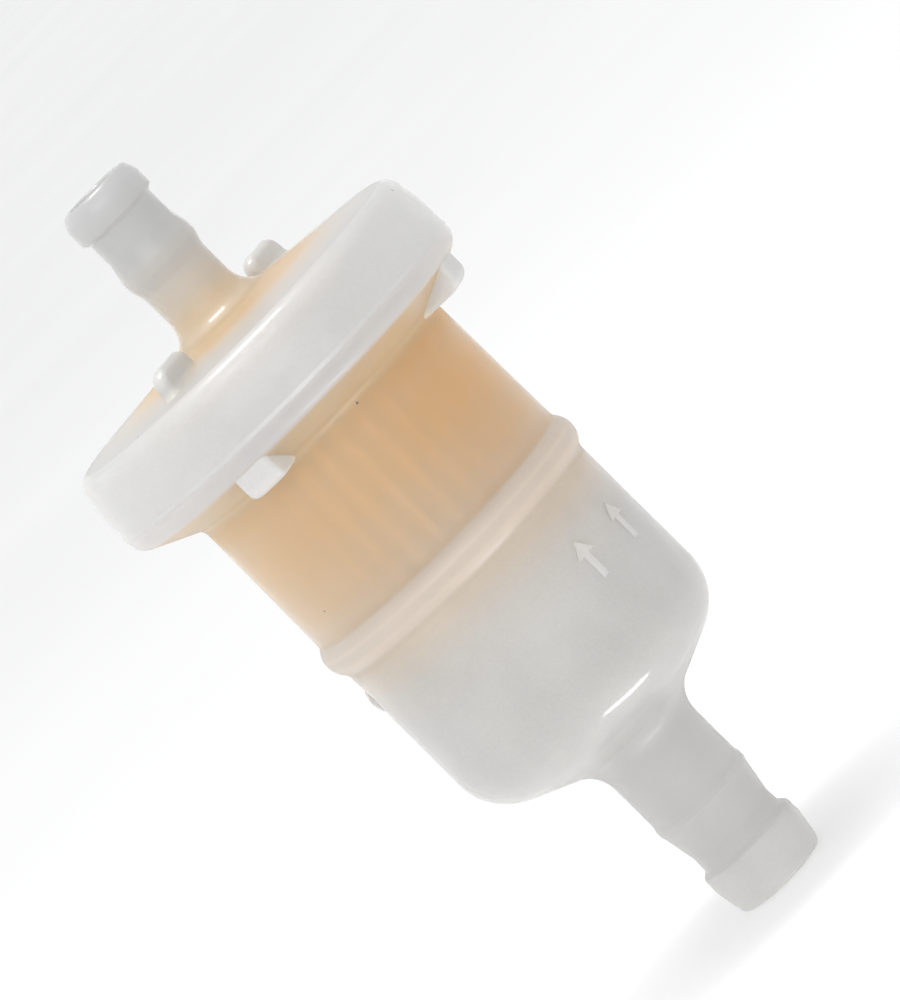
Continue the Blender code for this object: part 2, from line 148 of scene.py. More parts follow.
# Ears on the cap and lugs under the flange: azimuths are measured from -Y towards +X, and an ear's foot
# spreads inwards, outwards and sideways by so many times its height
EAR_AZIMUTHS = (-31.0, 149.0)
EAR_INNER, EAR_OUTER = 9.9, 16.6
EAR_TOP_Z = 31.1
EAR_THICKNESS = 1.8
EAR_OUTER_ROUND = 1.9
EAR_INNER_ROUND = 1.6
EAR_BASE_Z = 28.35
EAR_ROOT = 0.8
EAR_FOOT = 0.8
EAR_FOOT_IN, EAR_FOOT_OUT, EAR_FOOT_SIDE = 1.2, 1.9, 0.7
EAR_EDGE = 0.8
LUG_AZIMUTHS = (-23.0, 67.0, 157.0)
LUG_WIDTH = 4.2
LUG_INNER, LUG_OUTER = 15.0, 20.7
LUG_ROUND = 1.4
LUG_EDGE = 0.6
LUG_BOTTOM_Z = 16.1
LUG_STRAIGHT_Z = (18.2, 19.6)

# Moulding marks on the bowl: a gate stub and two flow arrows that point to the outlet.
# The dome of the stub is given as shares of its rise and of its radius.
MARK_SINK = 0.5
GATE_AZIMUTH, GATE_Z = -90.0, -6.9
GATE_RADIUS, GATE_RISE = 1.5, 0.38
GATE_SIDES = 24
GATE_DOME = ((0.0, 0.96), (0.34, 0.8), (0.64, 0.6), (0.86, 0.38), (0.97, 0.18))
ARROW_AZIMUTHS = (33.0, 57.0)
ARROW_TOP_Z, ARROW_LENGTH = -8.0, 4.6
ARROW_WIDTH, ARROW_SHAFT, ARROW_HEAD = 2.6, 0.9, 1.8
ARROW_RISE = 0.22
ARROW_BEVEL, ARROW_BEVEL_START = 0.14, 0.3
# Painted highlight on the arrows: whiter colour from this share of their rise, and this margin past their
# ends
ARROW_HIGHLIGHT_FROM, ARROW_HIGHLIGHT_MARGIN = 0.55, 0.2

# Looks of the nylon
NYLON_IOR = 1.5
NYLON_SPECULAR = 0.35
COAT_IOR = 1.45
COAT_ROUGHNESS = 0.12

# Specks in the nylon: cells per metre, size as a share of a cell, and share of the cells with one
SPECK_SCALE = 240.0
SPECK_SIZE = 0.035
SPECK_SHARE = 0.22
SPECK_COLOUR = (0.24, 0.20, 0.16)

# Camera: VIEW_ROLL is the cosine and sine of its roll, and VIEW_DISTANCE is in metres
VIEW_ELEVATION = 6.0
VIEW_DISTANCE = 0.76
VIEW_AIM = (3.10, 0.0, 1.61)
VIEW_LENS = 286.5
VIEW_ROLL = (0.7047, 0.7095)

# Floor, in metres
FLOOR_RADIUS = 12.0
FLOOR_DROP = 0.0002
FLOOR_GLOW = 0.42


def clear_defaults():
    """Removes the objects that a new Blender scene starts with."""
    for name in ("Cube", "Light", "Camera"):
        obj = bpy.data.objects.get(name)
        if obj and "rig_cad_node" not in obj:
            bpy.data.objects.remove(obj, do_unlink=True)


def arc(centre_r, centre_z, radius, start, end, steps):
    """Points of an arc in the (r, z) half plane, angles in degrees from +r towards +z."""
    points = []
    for step in range(steps + 1):
        angle = math.radians(start + (end - start) * step / steps)
        points.append((centre_r + radius * math.cos(angle), centre_z + radius * math.sin(angle)))
    return points


def rounded(corners):
    """A closed outline from (r, z, fillet) corners, each rounded by its own fillet radius. A fillet takes up
    less than half of the edges beside it."""
    outline = []
    count = len(corners)
    for i, (r, z, fillet) in enumerate(corners):
        here = Vector((r, z))
        before = Vector(corners[i - 1][:2]) - here
        after = Vector(corners[(i + 1) % count][:2]) - here
        bend = before.angle(after)
        if fillet <= 0.0 or bend > math.radians(STRAIGHT_ANGLE):
            outline.append((r, z))
            continue
        reach = fillet / math.tan(bend / 2.0)
        reach = min(reach, EDGE_SHARE * before.length, EDGE_SHARE * after.length)
        fillet = reach * math.tan(bend / 2.0)
        start = here + before.normalized() * reach
        halfway = (before.normalized() + after.normalized()).normalized()
        middle = here + halfway * fillet / math.sin(bend / 2.0)
        turn = math.pi - bend
        side = math.copysign(1.0, before.x * after.y - before.y * after.x)
        steps = max(2, math.ceil(FILLET_STEPS * turn / (math.pi / 2.0)))
        arm = start - middle
        for step in range(steps + 1):
            angle = -side * turn * step / steps
            cos, sin = math.cos(angle), math.sin(angle)
            outline.append((middle.x + arm.x * cos - arm.y * sin, middle.y + arm.x * sin + arm.y * cos))
    return outline


def object_from(name, bm):
    """A new object in the scene with the bmesh's faces turned outwards."""
    bmesh.ops.recalc_face_normals(bm, faces=bm.faces)
    mesh = bpy.data.meshes.new(name)
    bm.to_mesh(mesh)
    bm.free()
    obj = bpy.data.objects.new(name, mesh)
    bpy.context.scene.collection.objects.link(obj)
    return obj


def revolved(name, outline):
    """A body of revolution about Z from a closed outline of (r, z) points."""
    bm = bmesh.new()
    rings = []
    for r, z in outline:
        ring = []
        for k in range(SHELL_SEGMENTS):
            angle = 2.0 * math.pi * k / SHELL_SEGMENTS
            ring.append(bm.verts.new((r * math.cos(angle) * MM, r * math.sin(angle) * MM, z * MM)))
        rings.append(ring)
    for i in range(len(rings)):
        lower, upper = rings[i - 1], rings[i]
        for k in range(SHELL_SEGMENTS):
            bm.faces.new((lower[k - 1], lower[k], upper[k], upper[k - 1]))
    return object_from(name, bm)


def stacked(name, slices, azimuth):
    """A closed solid through slices, each a loop of (radial, sideways, z) points, turned to the azimuth."""
    bm = bmesh.new()
    turn = Matrix.Rotation(math.radians(azimuth - 90.0), 4, "Z")
    loops = [[bm.verts.new(turn @ (Vector(point) * MM)) for point in points] for points in slices]
    for lower, upper in zip(loops, loops[1:]):
        for k in range(len(lower)):
            bm.faces.new((lower[k - 1], lower[k], upper[k], upper[k - 1]))
    bm.faces.new(list(reversed(loops[0])))
    bm.faces.new(loops[-1])
    return object_from(name, bm)


def rounded_rectangle(x0, x1, half, corner, z_of):
    """A loop of points round a rectangle with rounded corners, at the heights that z_of(x) gives."""
    corner = min(corner, 0.49 * (x1 - x0), 0.98 * half)
    points = []
    corners = (
        (x1 - corner, half - corner, 0.0),
        (x0 + corner, half - corner, 90.0),
        (x0 + corner, corner - half, 180.0),
        (x1 - corner, corner - half, 270.0),
    )
    for cx, cy, start in corners:
        for step in range(FILLET_STEPS + 1):
            angle = math.radians(start + 90.0 * step / FILLET_STEPS)
            x = cx + corner * math.cos(angle)
            points.append((x, cy + corner * math.sin(angle), z_of(x)))
    return points


def smooth(obj):
    """Shades the object smooth, with its sharper edges kept."""
    for polygon in obj.data.polygons:
        polygon.use_smooth = True
    obj.data.set_sharp_from_angle(angle=math.radians(SHARP_EDGE_ANGLE))


def solid_lump(obj):
    """Gives an addition's faces the second of the shell's materials."""
    for polygon in obj.data.polygons:
        polygon.material_index = 1
    return obj


def united(obj, looks, additions):
    """The object with the additions merged into it by an exact union, as one closed mesh. The weld takes
    away the slivers that a union leaves."""
    for look in looks:
        obj.data.materials.append(look)
    for extra in additions:
        modifier = obj.modifiers.new("union", "BOOLEAN")
        modifier.operation = "UNION"
        modifier.solver = "EXACT"
        modifier.object = extra
    graph = bpy.context.evaluated_depsgraph_get()
    merged = bpy.data.meshes.new_from_object(obj.evaluated_get(graph))
    obj.modifiers.clear()
    clean = bmesh.new()
    clean.from_mesh(merged)
    bmesh.ops.remove_doubles(clean, verts=clean.verts[:], dist=WELD * MM)
    bmesh.ops.dissolve_degenerate(clean, edges=clean.edges[:], dist=WELD * MM)
    clean.to_mesh(merged)
    clean.free()
    obj.data = merged
    for extra in additions:
        bpy.data.objects.remove(extra, do_unlink=True)
    smooth(obj)
    weighted = obj.modifiers.new("shading", "WEIGHTED_NORMAL")
    weighted.keep_sharp = True
    weighted.weight = 100
    return obj


def cap_outline():
    """The cap in the (r, z) half plane, from the outlet's tip over the disc and the rim, and back inside to
    the spigot."""
    slope = math.tan(math.radians(CAP_SLOPE))
    flare = arc(OUTLET_STEM + OUTLET_FLARE, OUTLET_FLARE_Z, OUTLET_FLARE, 180.0, 270.0 - CAP_SLOPE, 16)
    flare_r, flare_z = flare[-1]
    under_skirt = flare_z - (SKIRT_RADIUS - flare_r) * slope - CAP_WALL
    under_spigot = flare_z + (flare_r - SPIGOT_RADIUS) * slope - CAP_WALL
    nozzle = rounded([
        (OUTLET_BORE, HALF_LENGTH - 6.0, 0.0),
        (OUTLET_BORE, HALF_LENGTH, 0.3),
        (3.9, HALF_LENGTH, 0.8),
        (OUTLET_BARB, 45.4, 1.8),
        (OUTLET_BARB, 43.35, 0.3),
        (3.87, 42.95, 0.3),
        (3.9, 40.0, 3.0),
        (OUTLET_RING, 38.3, 0.9),
        (OUTLET_RING, 37.2, 0.6),
        (3.86, 35.8, 1.6),
        (OUTLET_STEM, 34.0, 0.0),
    ])[1:]
    rim = arc(RIM_TOP_RADIUS - RIM_ROUND, RIM_ROUND_Z, RIM_ROUND, 90.0 - CAP_SLOPE, 0.0, 12)
    inside = rounded([
        (21.36, 24.4, 0.0),
        (RIM_RADIUS, RIM_DRAFT_Z, 3.0),
        (RIM_RADIUS, JOINT_Z + CAP_RIDGE_EASE, 0.4),
        (RIM_RADIUS + JOINT_RIDGE, JOINT_Z + CAP_RIDGE_HEIGHT, 0.1),
        (RIM_RADIUS + JOINT_RIDGE, JOINT_Z + JOINT_GAP / 2.0, 0.0),
        (SKIRT_RADIUS, JOINT_Z + JOINT_GAP / 2.0, 0.2),
        (SKIRT_RADIUS, under_skirt, 0.8),
        (SPIGOT_RADIUS, under_spigot, 0.6),
        (SPIGOT_RADIUS, SPIGOT_END_Z, 0.2),
        (OUTLET_BORE, SPIGOT_END_Z, 0.2),
        (OUTLET_BORE, SPIGOT_END_Z + 4.0, 0.0),
    ])
    return nozzle + flare + rim + inside


def ear(number, azimuth):
    """An upright ear with soft edges and rounded shoulders. Its foot runs out into the cap's sloping top, and
    its root goes into the cap's wall."""
    slope = math.tan(math.radians(CAP_SLOPE))
    middle = 0.5 * (EAR_INNER + EAR_OUTER)
    half = EAR_THICKNESS / 2.0
    foot = [(-EAR_ROOT, 1.0)]
    for degrees in range(0, 91, 10):
        angle = math.radians(degrees)
        foot.append((EAR_FOOT * (1.0 - math.cos(angle)), 1.0 - math.sin(angle)))
    slices = []
    for rise, flare in foot:
        tilt = 1.0 - max(rise, 0.0) / EAR_FOOT
        slices.append(
            rounded_rectangle(
                EAR_INNER - EAR_FOOT_IN * EAR_FOOT * flare,
                EAR_OUTER + EAR_FOOT_OUT * EAR_FOOT * flare,
                half + EAR_FOOT_SIDE * EAR_FOOT * flare,
                EAR_EDGE + EAR_FOOT * flare,
                lambda x, rise=rise, tilt=tilt: EAR_BASE_Z + rise - (x - middle) * slope * tilt,
            )
        )
    start_z = EAR_BASE_Z + EAR_FOOT
    for step in range(1, EDGE_STEPS + 1):
        share = step / EDGE_STEPS
        z = EAR_TOP_Z - (EAR_TOP_Z - start_z) * (1.0 - math.sin(math.radians(90.0 * share)))
        slices.append(
            rounded_rectangle(
                EAR_INNER + round_in(z, EAR_TOP_Z, EAR_INNER_ROUND),
                EAR_OUTER - round_in(z, EAR_TOP_Z, EAR_OUTER_ROUND),
                half - round_in(z, EAR_TOP_Z, EAR_EDGE),
                EAR_EDGE,
                lambda x, z=z: z,
            )
        )
    return stacked(f"ear_{number}", slices, azimuth)


def round_in(z, top, radius):
    """How far a quarter round of this radius, ending at the top, has come in at height z."""
    over = max(0.0, z - (top - radius)) / radius
    return radius * (1.0 - math.sqrt(max(0.0, 1.0 - over * over)))


def make_cap(looks):
    cap = revolved("cap_shell", cap_outline())
    ears = [solid_lump(ear(i, azimuth)) for i, azimuth in enumerate(EAR_AZIMUTHS)]
    return united(cap, looks, ears)


def bowl_outline():
    """The bowl in the (r, z) half plane, from the collar down the outside to the inlet and back up inside."""
    slope = math.tan(math.radians(SHOULDER_SLOPE))
    flange = arc(RIM_RADIUS - FLANGE_ROUND, FLANGE_ROUND_Z, FLANGE_ROUND, 0.0, FLANGE_SLOPE - 90.0, 10)
    slope_r, slope_z = flange[-1]
    slope_end_z = slope_z - (slope_r - WALL_TOP) * math.tan(math.radians(FLANGE_SLOPE))
    top = JOINT_Z - JOINT_GAP / 2.0
    upper = rounded([
        (BOWL_INNER, 12.0, 0.0),
        (BOWL_INNER, COLLAR_TOP_Z, 0.3),
        (COLLAR_RADIUS, COLLAR_TOP_Z, 0.3),
        (COLLAR_RADIUS, top, 0.3),
        (RIM_RADIUS + JOINT_RIDGE, top, 0.0),
        (RIM_RADIUS + JOINT_RIDGE, JOINT_Z - BOWL_RIDGE_HEIGHT, 0.1),
        (RIM_RADIUS, JOINT_Z - BOWL_RIDGE_EASE, 0.3),
        (RIM_RADIUS, FLANGE_ROUND_Z, 0.0),
    ])[1:-1]
    bead_height = BEAD_RADIUS - WALL_MIDDLE
    section = (BEAD_HALF**2 + bead_height**2) / (2.0 * bead_height)
    half_angle = math.degrees(math.asin(BEAD_HALF / section))
    bead_end = BEAD_SHARE * half_angle
    bead = arc(BEAD_RADIUS - section, BEAD_Z, section, bead_end, -bead_end, 12)
    wall = rounded([
        (slope_r, slope_z, 0.0),
        (WALL_TOP, slope_end_z, FLANGE_FILLET),
        (0.5 * (WALL_TOP + WALL_MIDDLE), 8.0, 0.0),
    ])[1:]
    above = bead_foot(bead[0], WALL_MIDDLE, bead_end, 1.0)
    below = list(reversed(bead_foot(bead[-1], WALL_LOWER, bead_end, -1.0)))
    shoulder_centre = WALL_END - SHOULDER
    shoulder = arc(shoulder_centre, SHOULDER_Z, SHOULDER, 0.0, SHOULDER_SLOPE - 90.0, 18)
    cone_r, cone_z = shoulder[-1]
    cone_at_stem = cone_z - (cone_r - INLET_STEM) * slope
    fillet_z = cone_at_stem - INLET_FILLET * math.tan(math.radians((90.0 - SHOULDER_SLOPE) / 2.0))
    fillet = arc(INLET_STEM + INLET_FILLET, fillet_z, INLET_FILLET, 90.0 + SHOULDER_SLOPE, 180.0, 12)
    inner_radius = BOWL_INNER - shoulder_centre
    inner_shoulder = arc(shoulder_centre, SHOULDER_Z, inner_radius, SHOULDER_SLOPE - 90.0, 0.0, 14)
    inner_r, inner_z = inner_shoulder[0]
    throat_z = inner_z - (inner_r - BOWL_BORE) * slope
    nozzle = rounded([
        (INLET_STEM, fillet_z - 0.5, 0.0),
        (INLET_STEM, -34.6, 1.2),
        (INLET_BARB, -35.25, 0.35),
        (INLET_BARB, -35.8, 0.25),
        (5.46, -36.2, 0.4),
        (4.83, -39.7, 2.0),
        (4.92, -41.2, 0.5),
        (5.55, -41.75, 0.3),
        (INLET_BARB, -42.2, 0.4),
        (INLET_BARB, -43.4, 2.0),
        (5.2, -46.0, 0.6),
        (4.95, -HALF_LENGTH, 0.35),
        (BOWL_BORE, -HALF_LENGTH, 0.3),
        (BOWL_BORE, throat_z, 1.2),
        (0.5 * (BOWL_BORE + inner_r), throat_z + 0.5 * (inner_r - BOWL_BORE) * slope, 0.0),
    ])[:-1]
    outside = upper + flange + wall + above + bead + below + shoulder + fillet
    return outside + nozzle + inner_shoulder


def bead_foot(end, wall_radius, angle, side):
    """The hollow that eases the bead's end into the wall, from the wall towards the bead."""
    turn = math.radians(angle)
    fall = end[0] - wall_radius
    radius = fall / (1.0 - math.cos(turn))
    points = []
    for step in range(BEAD_FOOT_STEPS):
        part = turn * step / BEAD_FOOT_STEPS
        points.append((
            wall_radius + radius * (1.0 - math.cos(part)),
            end[1] + side * radius * (math.sin(turn) - math.sin(part)),
        ))
    return points


def lug(number, azimuth):
    """A block under the flange with a rounded lower outer corner."""
    half = LUG_WIDTH / 2.0
    slices = []
    for step in range(EDGE_STEPS + 1):
        z = LUG_BOTTOM_Z + LUG_ROUND * (1.0 - math.cos(math.radians(90.0 * step / EDGE_STEPS)))
        slices.append(
            rounded_rectangle(
                LUG_INNER,
                LUG_OUTER - round_in(-z, -LUG_BOTTOM_Z, LUG_ROUND),
                half - round_in(-z, -LUG_BOTTOM_Z, LUG_EDGE),
                LUG_EDGE,
                lambda x, z=z: z,
            )
        )
    for z in LUG_STRAIGHT_Z:
        slices.append(rounded_rectangle(LUG_INNER, LUG_OUTER, half, LUG_EDGE, lambda x, z=z: z))
    return stacked(f"lug_{number}", slices, azimuth)


def gate():
    """The round stub that the moulding gate leaves on the wall."""
    dome = [(-MARK_SINK, 1.0)] + [(rise * GATE_RISE, share) for rise, share in GATE_DOME]
    turn = 360.0 * (GATE_SIDES - 1) / GATE_SIDES
    slices = []
    for rise, share in dome:
        circle = arc(0.0, GATE_Z, GATE_RADIUS * share, 0.0, turn, GATE_SIDES - 1)
        slices.append([(WALL_LOWER + rise, sideways, z) for sideways, z in circle])
    return stacked("gate", slices, GATE_AZIMUTH)


def inset(outline, distance):
    """A plane outline moved in by a distance along every edge."""
    moved = []
    for i, point in enumerate(outline):
        here = Vector(point)
        arriving = (here - Vector(outline[i - 1])).normalized()
        leaving = (Vector(outline[(i + 1) % len(outline)]) - here).normalized()
        first, second = Vector((-arriving.y, arriving.x)), Vector((-leaving.y, leaving.x))
        moved.append(tuple(here + (first + second) * distance / (1.0 + first.dot(second))))
    return moved


def arrow(number, azimuth):
    """A low moulded arrow along the wall with sloped sides."""
    half, shaft = ARROW_WIDTH / 2.0, ARROW_SHAFT / 2.0
    neck_z, end_z = ARROW_TOP_Z - ARROW_HEAD, ARROW_TOP_Z - ARROW_LENGTH
    outline = [
        (0.0, ARROW_TOP_Z),
        (-half, neck_z),
        (-shaft, neck_z),
        (-shaft, end_z),
        (shaft, end_z),
        (shaft, neck_z),
        (half, neck_z),
    ]
    levels = ((-MARK_SINK, 0.0), (ARROW_BEVEL_START * ARROW_RISE, 0.0), (ARROW_RISE, ARROW_BEVEL))
    slices = []
    for rise, distance in levels:
        slices.append([(WALL_LOWER + rise, sideways, z) for sideways, z in inset(outline, distance)])
    return stacked(f"arrow_{number}", slices, azimuth)


def make_bowl(looks):
    bowl = revolved("bowl_shell", bowl_outline())
    additions = [solid_lump(lug(i, azimuth)) for i, azimuth in enumerate(LUG_AZIMUTHS)]
    additions += [arrow(i, azimuth) for i, azimuth in enumerate(ARROW_AZIMUTHS)]
    return united(bowl, looks, [*additions, gate()])


def principled(name):
    """A new material, its node tree and its Principled shader."""
    made = bpy.data.materials.new(name)
    made.use_nodes = True
    return made, made.node_tree, made.node_tree.nodes["Principled BSDF"]


def node(tree, kind, **settings):
    """A new node, with each setting put on the socket or the property of that name."""
    made = tree.nodes.new(kind)
    for key, value in settings.items():
        if key in made.inputs:
            made.inputs[key].default_value = value
        else:
            setattr(made, key, value)
    return made


def coordinates(tree):
    return node(tree, "ShaderNodeTexCoord").outputs["Object"]


def noise(tree, scale, detail=3.0, roughness=0.5):
    made = node(tree, "ShaderNodeTexNoise", Scale=scale, Detail=detail, Roughness=roughness)
    tree.links.new(coordinates(tree), made.inputs["Vector"])
    return made.outputs["Fac"]


def math_node(tree, operation, first, second=None):
    made = node(tree, "ShaderNodeMath", operation=operation)
    for socket, value in zip(made.inputs, (first, second)):
        if value is None:
            continue
        if isinstance(value, (int, float)):
            socket.default_value = value
        else:
            tree.links.new(value, socket)
    return made.outputs["Value"]


def product(tree, first, second):
    return math_node(tree, "MULTIPLY", first, second)


def ramp(tree, value, stops, smoothly=False):
    made = node(tree, "ShaderNodeValToRGB")
    if smoothly:
        made.color_ramp.interpolation = "EASE"
    elements = made.color_ramp.elements
    for i, (position, colour) in enumerate(stops):
        element = elements[i] if i < 2 else elements.new(position)
        element.position = position
        element.color = (*colour, 1.0)
    tree.links.new(value, made.inputs["Fac"])
    return made.outputs["Color"]


def profile(tree, value, stops):
    """A level along value, eased between (where, level) stops. value is in metres, where in millimetres."""
    low, high = stops[0][0], stops[-1][0]
    share = node(tree, "ShaderNodeMapRange", **{"From Min": low * MM, "From Max": high * MM})
    tree.links.new(value, share.inputs["Value"])
    placed = [((where - low) / (high - low), (level,) * 3) for where, level in stops]
    colour = ramp(tree, share.outputs["Result"], placed, smoothly=True)
    separate = node(tree, "ShaderNodeSeparateColor")
    tree.links.new(colour, separate.inputs["Color"])
    return separate.outputs[0]


def axial(tree):
    """(distance from the axis, height), both in metres."""
    split = node(tree, "ShaderNodeSeparateXYZ")
    tree.links.new(coordinates(tree), split.inputs["Vector"])
    x, y, z = split.outputs
    squares = math_node(tree, "ADD", product(tree, x, x), product(tree, y, y))
    return math_node(tree, "SQRT", squares), z


def mixed(tree, share, first, second):
    """The first colour, with that share of the second."""
    made = node(tree, "ShaderNodeMix", data_type="RGBA")
    colours = [socket for socket in made.inputs if socket.type == "RGBA"]
    factor = [socket for socket in made.inputs if socket.type == "VALUE"][0]
    for socket, value in ((factor, share), (colours[0], first), (colours[1], second)):
        if isinstance(value, tuple):
            socket.default_value = (*value, 1.0)
        else:
            tree.links.new(value, socket)
    return [socket for socket in made.outputs if socket.type == "RGBA"][0]


def bump(tree, shader, height, strength, distance):
    made = node(tree, "ShaderNodeBump", Strength=strength, Distance=distance * MM)
    tree.links.new(height, made.inputs["Height"])
    tree.links.new(made.outputs["Normal"], shader.inputs["Normal"])


def specks(tree):
    """Sparse dark specks: 1 on a speck and 0 elsewhere."""
    cells = node(tree, "ShaderNodeTexVoronoi", Scale=SPECK_SCALE)
    tree.links.new(coordinates(tree), cells.inputs["Vector"])
    small = math_node(tree, "LESS_THAN", cells.outputs["Distance"], SPECK_SIZE)
    lot = node(tree, "ShaderNodeSeparateColor")
    tree.links.new(cells.outputs["Color"], lot.inputs["Color"])
    chosen = math_node(tree, "GREATER_THAN", lot.outputs[0], 1.0 - SPECK_SHARE)
    return product(tree, small, chosen)


def nylon(name, milk, lit_and_shaded_tans, tones, stains, show_through, gloss, transmission, roughness):
    """Milky nylon. milk is (light, dark), tans the cartridge's tint on the -X and +X sides, which differ as
    painted light and shade between the side lit from -X and the other side, tones a list of (colour,
    share(tree)) laid over the milk, among them painted highlights, stains the same laid over the tint,
    show_through(tree) how much tint shows at each place, and gloss(tree) the coat's weight."""
    made, tree, shader = principled(name)
    light, dark = milk
    grain = noise(tree, 3200.0, 2.0, 0.6)
    cloud = product(tree, noise(tree, 140.0, 4.0, 0.55), 0.6)
    cloud = math_node(tree, "ADD", cloud, product(tree, grain, 0.4))
    colour = ramp(tree, cloud, [(0.36, dark), (0.64, light)])
    for tone, share in tones:
        colour = mixed(tree, share(tree), colour, tone)
    split = node(tree, "ShaderNodeSeparateXYZ")
    tree.links.new(coordinates(tree), split.inputs["Vector"])
    # Painted light and shade: the tint differs between the side lit from -X and the other side
    side = profile(tree, split.outputs["X"], [(-14.0, 0.0), (-2.0, 0.35), (14.0, 1.0)])
    tan = mixed(tree, side, *lit_and_shaded_tans)
    mottle = math_node(tree, "ADD", 0.84, product(tree, noise(tree, 420.0, 3.0), 0.2))
    mottle = math_node(tree, "ADD", mottle, product(tree, grain, 0.12))
    share = product(tree, show_through(tree), mottle)
    colour = mixed(tree, share, colour, tan)
    for stain, stained in stains:
        colour = mixed(tree, stained(tree), colour, stain)
    tree.links.new(mixed(tree, specks(tree), colour, SPECK_COLOUR), shader.inputs["Base Color"])
    shader.inputs["Transmission Weight"].default_value = transmission
    shader.inputs["Roughness"].default_value = roughness
    shader.inputs["IOR"].default_value = NYLON_IOR
    shader.inputs["Specular IOR Level"].default_value = NYLON_SPECULAR
    tree.links.new(gloss(tree), shader.inputs["Coat Weight"])
    shader.inputs["Coat Roughness"].default_value = COAT_ROUGHNESS
    shader.inputs["Coat IOR"].default_value = COAT_IOR
    bump(tree, shader, noise(tree, 2600.0, 2.0), 0.10, 0.03)
    return made


def bowl_show_through(tree):
    """The cartridge's tan: full on the wall beside it and under the flange, and faint inside the collar. It
    thins a little towards the flange, which is painted light against the flange's shadow.
    """
    radius, height = axial(tree)
    # Painted light: the share falls from 1.0 to 0.8 towards the flange, where the flange shades the wall
    band = profile(tree, height, [
        (-12.0, 0.0), (-8.5, 0.06), (-3.5, 0.34), (-2.9, 0.2), (0.2, 0.2), (0.7, 0.6),
        (4.5, 0.82), (10.0, 1.0), (14.0, 0.95), (18.6, 0.8), (19.2, 0.04),
    ])
    inside = math_node(tree, "LESS_THAN", radius, WALL_CORE * MM)
    collar = profile(tree, height, [(14.0, 0.0), (15.2, 0.0), (16.4, 0.8), (20.0, 0.8)])
    cleared = product(tree, inside, collar)
    return product(tree, band, math_node(tree, "SUBTRACT", 1.0, cleared))


def cap_show_through(tree):
    """The cartridge's tan: on the top round the nozzle and a little way up it."""
    radius, height = axial(tree)
    across = profile(tree, radius, [
        (0.0, 1.0), (9.0, 1.0), (11.5, 0.7), (14.0, 0.25), (17.0, 0.08), (19.5, 0.0),
    ])
    along = profile(tree, height, [
        (20.0, 0.0), (25.5, 0.2), (27.5, 0.85), (31.0, 0.85), (34.0, 0.35), (37.0, 0.1), (40.0, 0.0),
    ])
    return product(tree, across, along)


def ear_show_through(tree):
    """A trace of tan at the ears' feet."""
    return profile(tree, above_top(tree), [(0.0, 0.7), (0.7, 0.4), (3.0, 0.3)])


def lug_show_through(tree):
    """A trace of tan where the lugs meet the wall."""
    return profile(tree, axial(tree)[0], [(14.0, 1.0), (15.7, 0.8), (17.0, 0.1), (22.0, 0.0)])


def above_top(tree):
    """Height above the cap's conical top, in metres."""
    radius, height = axial(tree)
    slope = math.radians(CAP_SLOPE)
    flare_r = OUTLET_STEM + OUTLET_FLARE * (1.0 - math.sin(slope))
    apex = OUTLET_FLARE_Z - OUTLET_FLARE * math.cos(slope) + flare_r * math.tan(slope)
    level = math_node(tree, "ADD", height, product(tree, radius, math.tan(slope)))
    return math_node(tree, "SUBTRACT", level, apex * MM)


def nozzle_depth(tree):
    """Greyer nylon up the outlet, where no cartridge lies behind the wall."""
    return profile(tree, axial(tree)[1], [(20.0, 0.0), (31.0, 0.0), (34.0, 0.55), (38.0, 0.9), (48.0, 1.0)])


def inlet_depth(tree):
    """Greyer nylon down the inlet."""
    return profile(tree, axial(tree)[1], [
        (-48.0, 0.0), (-43.0, 0.15), (-40.0, 0.6), (-30.0, 0.6), (-25.0, 0.0), (-20.0, 0.0),
    ])


def cap_top(tree):
    """Greyer nylon on the flat top."""
    disc = profile(tree, axial(tree)[0], [(0.0, 0.0), (4.5, 0.0), (6.5, 1.0), (19.0, 1.0), (20.2, 0.0)])
    skin = profile(tree, above_top(tree), [
        (-1.0, 0.0), (-0.5, 0.0), (-0.1, 0.7), (0.1, 0.7), (0.5, 0.0),
    ])
    return product(tree, disc, skin)


def flare_foot(tree):
    """Deeper tan on the flat top where it meets the nozzle's flare."""
    disc = profile(tree, axial(tree)[0], [(0.0, 0.0), (4.5, 0.0), (6.5, 0.6), (9.5, 0.6), (13.5, 0.0)])
    skin = profile(tree, above_top(tree), [
        (-1.0, 0.0), (-0.5, 0.0), (-0.1, 1.0), (0.1, 1.0), (0.5, 0.0),
    ])
    return product(tree, disc, skin)


def bead_painted_highlights(tree):
    """Painted highlights: two pale bands along the bead, where its upper and lower sides catch the overhead
    and the low lights.
    """
    return profile(tree, axial(tree)[1], [
        (-4.0, 0.0), (-3.3, 0.0), (-2.8, 0.7), (-2.2, 0.8), (-1.8, 0.4),
        (-1.2, 0.4), (-0.9, 0.9), (-0.5, 0.5), (0.2, 0.5), (0.6, 0.0),
    ])


def arrow_painted_highlight(tree):
    """Painted highlight: whiter nylon on the raised faces of the arrows, standing in for the light that their
    bevels catch.
    """
    radius, height = axial(tree)
    raised = math_node(tree, "GREATER_THAN", radius, (WALL_LOWER + ARROW_HIGHLIGHT_FROM * ARROW_RISE) * MM)
    below = math_node(tree, "LESS_THAN", height, (ARROW_TOP_Z + ARROW_HIGHLIGHT_MARGIN) * MM)
    above = math_node(tree, "GREATER_THAN", height, (ARROW_TOP_Z - ARROW_LENGTH - ARROW_HIGHLIGHT_MARGIN) * MM)
    return product(tree, raised, product(tree, below, above))


